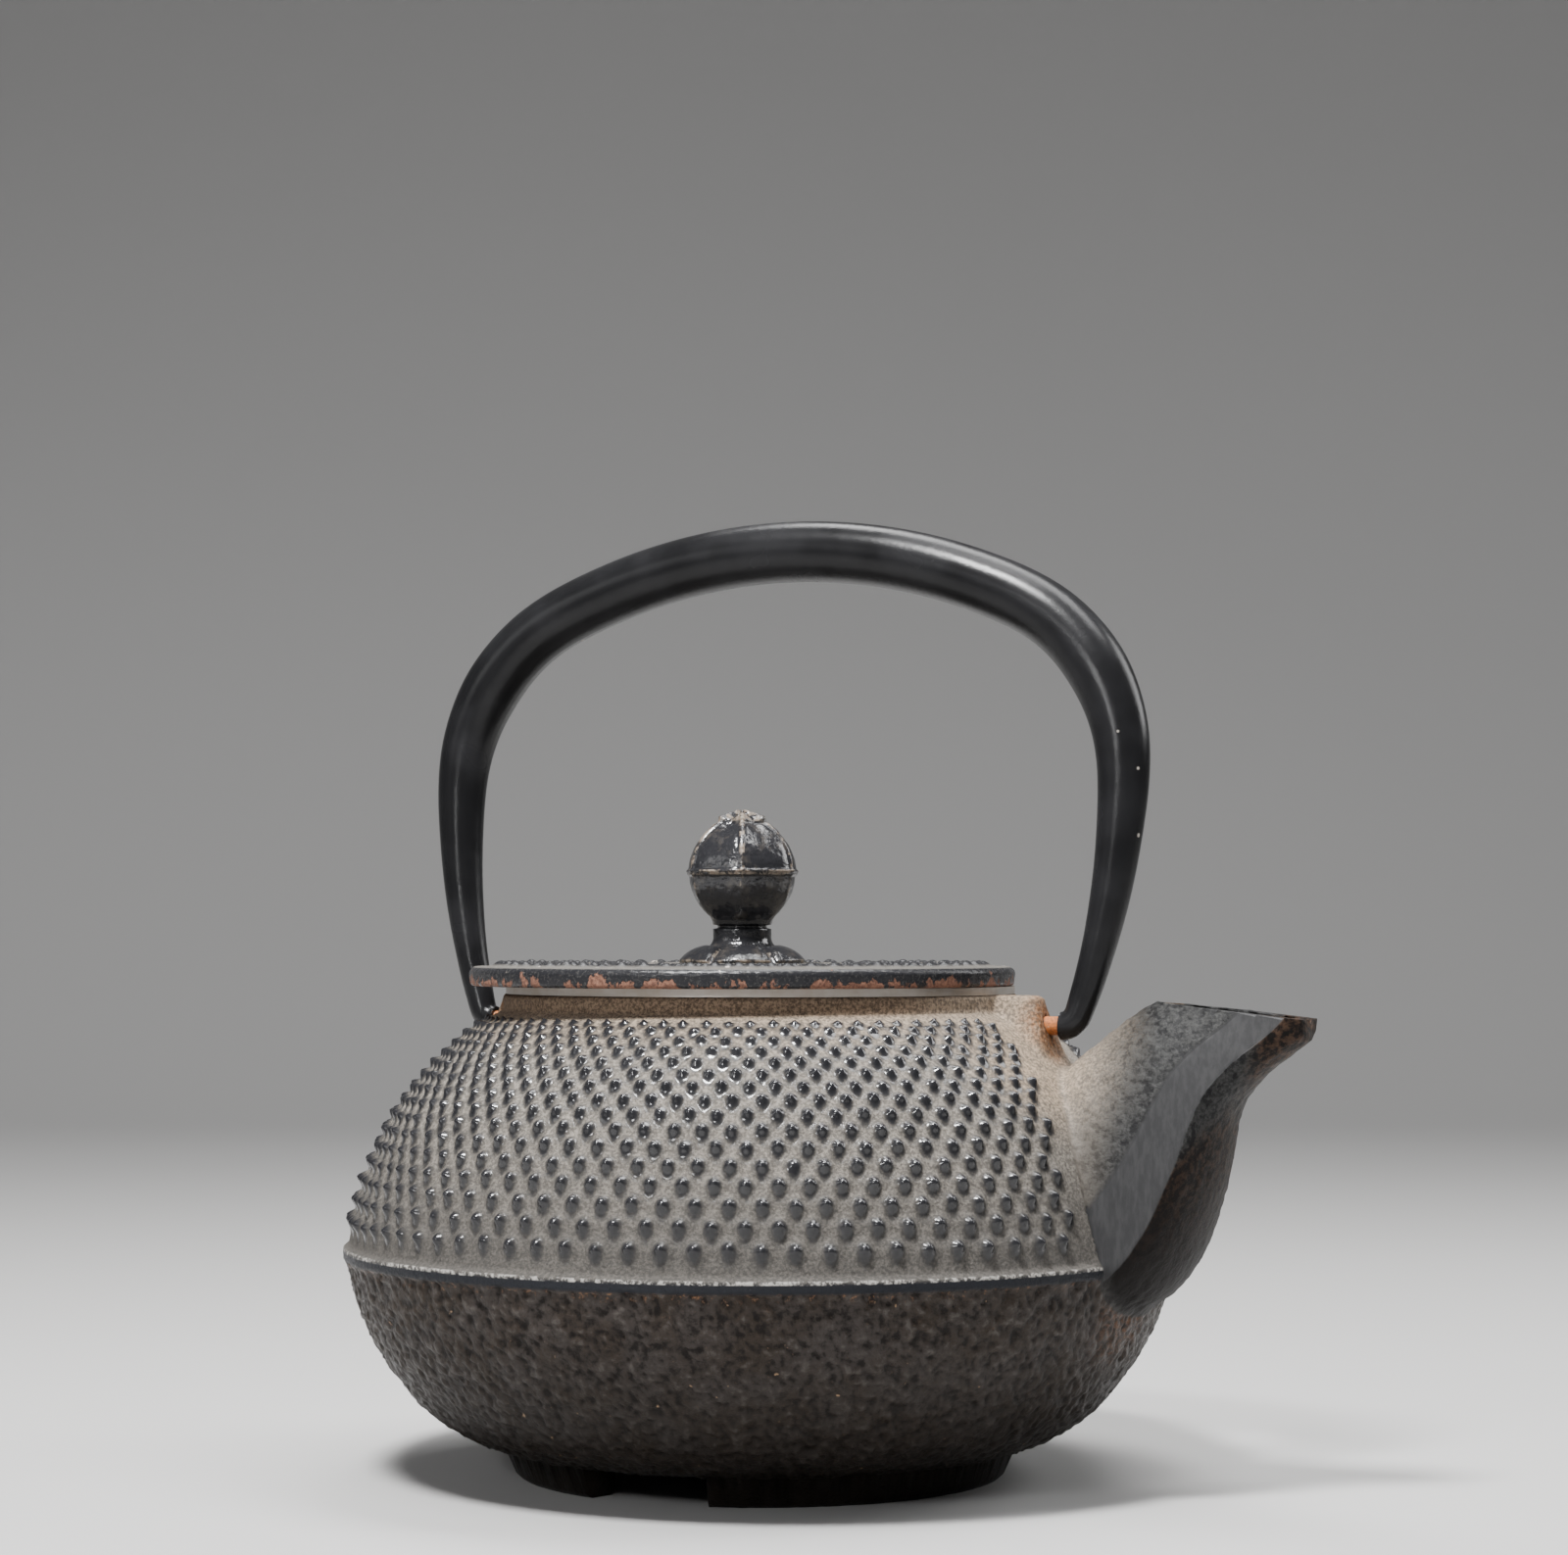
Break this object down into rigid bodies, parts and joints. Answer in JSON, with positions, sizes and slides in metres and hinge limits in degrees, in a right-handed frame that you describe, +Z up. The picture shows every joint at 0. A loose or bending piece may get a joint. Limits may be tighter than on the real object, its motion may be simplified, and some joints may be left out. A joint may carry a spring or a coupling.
{
  "type": "teapot infuser",
  "caption": "Squat cast-iron hobnail teapot with a bail handle, a short spout, a loose knobbed lid and a lift-out mesh tea infuser.",
  "frame": {"origin": "on the table, under the middle of the whole outline, so the pot's own axis is 13.7 mm behind it", "axes": "+Z up, +X towards the spout, Y along the width; the handle pins lie along X"},
  "size_m": [0.178, 0.1506, 0.173],
  "materials": {
    "pot_iron": "lacquered black over cast texture, dusty in the hollows, rusty at the neck",
    "enamel": "glossy black enamel",
    "lid_iron": "glossy black lacquer, chipped to rust at the lower edge",
    "knob_iron": "glossy black lacquer, worn at the edges",
    "steel": "plain steel fastener",
    "handle_paint": "satin black paint",
    "pin_steel": "bare steel with orange rust",
    "infuser_steel": "satin stainless steel, tea stained",
    "infuser_mesh": "fine woven stainless mesh"
  },
  "bodies": {
    "pot": {"pot_bowl": "pot_iron", "pot_dome": "pot_iron", "pot_spout": "pot_iron", "pot_feet": "pot_iron", "enamel_lining": "enamel"},
    "infuser": {"infuser_rim": "infuser_steel", "infuser_mesh_wall": "infuser_mesh", "infuser_seam_strip": "infuser_steel", "infuser_bottom_ring": "infuser_steel", "infuser_mesh_floor": "infuser_mesh"},
    "lid": {"lid_plate": "lid_iron", "lid_knob": "knob_iron", "knob_seat": "knob_iron", "knob_stud": "steel", "knob_washer": "steel", "knob_nut": "steel"},
    "handle": {"handle_tube": "handle_paint", "handle_pin_front": "pin_steel", "handle_pin_rear": "pin_steel"}
  },
  "joints": [
    {"name": "infuser_lift", "type": "slide", "parent": "pot", "child": "infuser", "axis": [0, 0, 1], "range_m": [0, 0.041]},
    {"name": "lid_lift", "type": "slide", "parent": "infuser", "child": "lid", "axis": [0, 0, 1], "range_m": [0, 0.04]},
    {"name": "handle_swing", "type": "hinge", "parent": "pot", "child": "handle", "pos_m": [-0.0137, 0, 0.0813], "axis": [1, 0, 0], "range_deg": [-100, 107]}
  ]
}
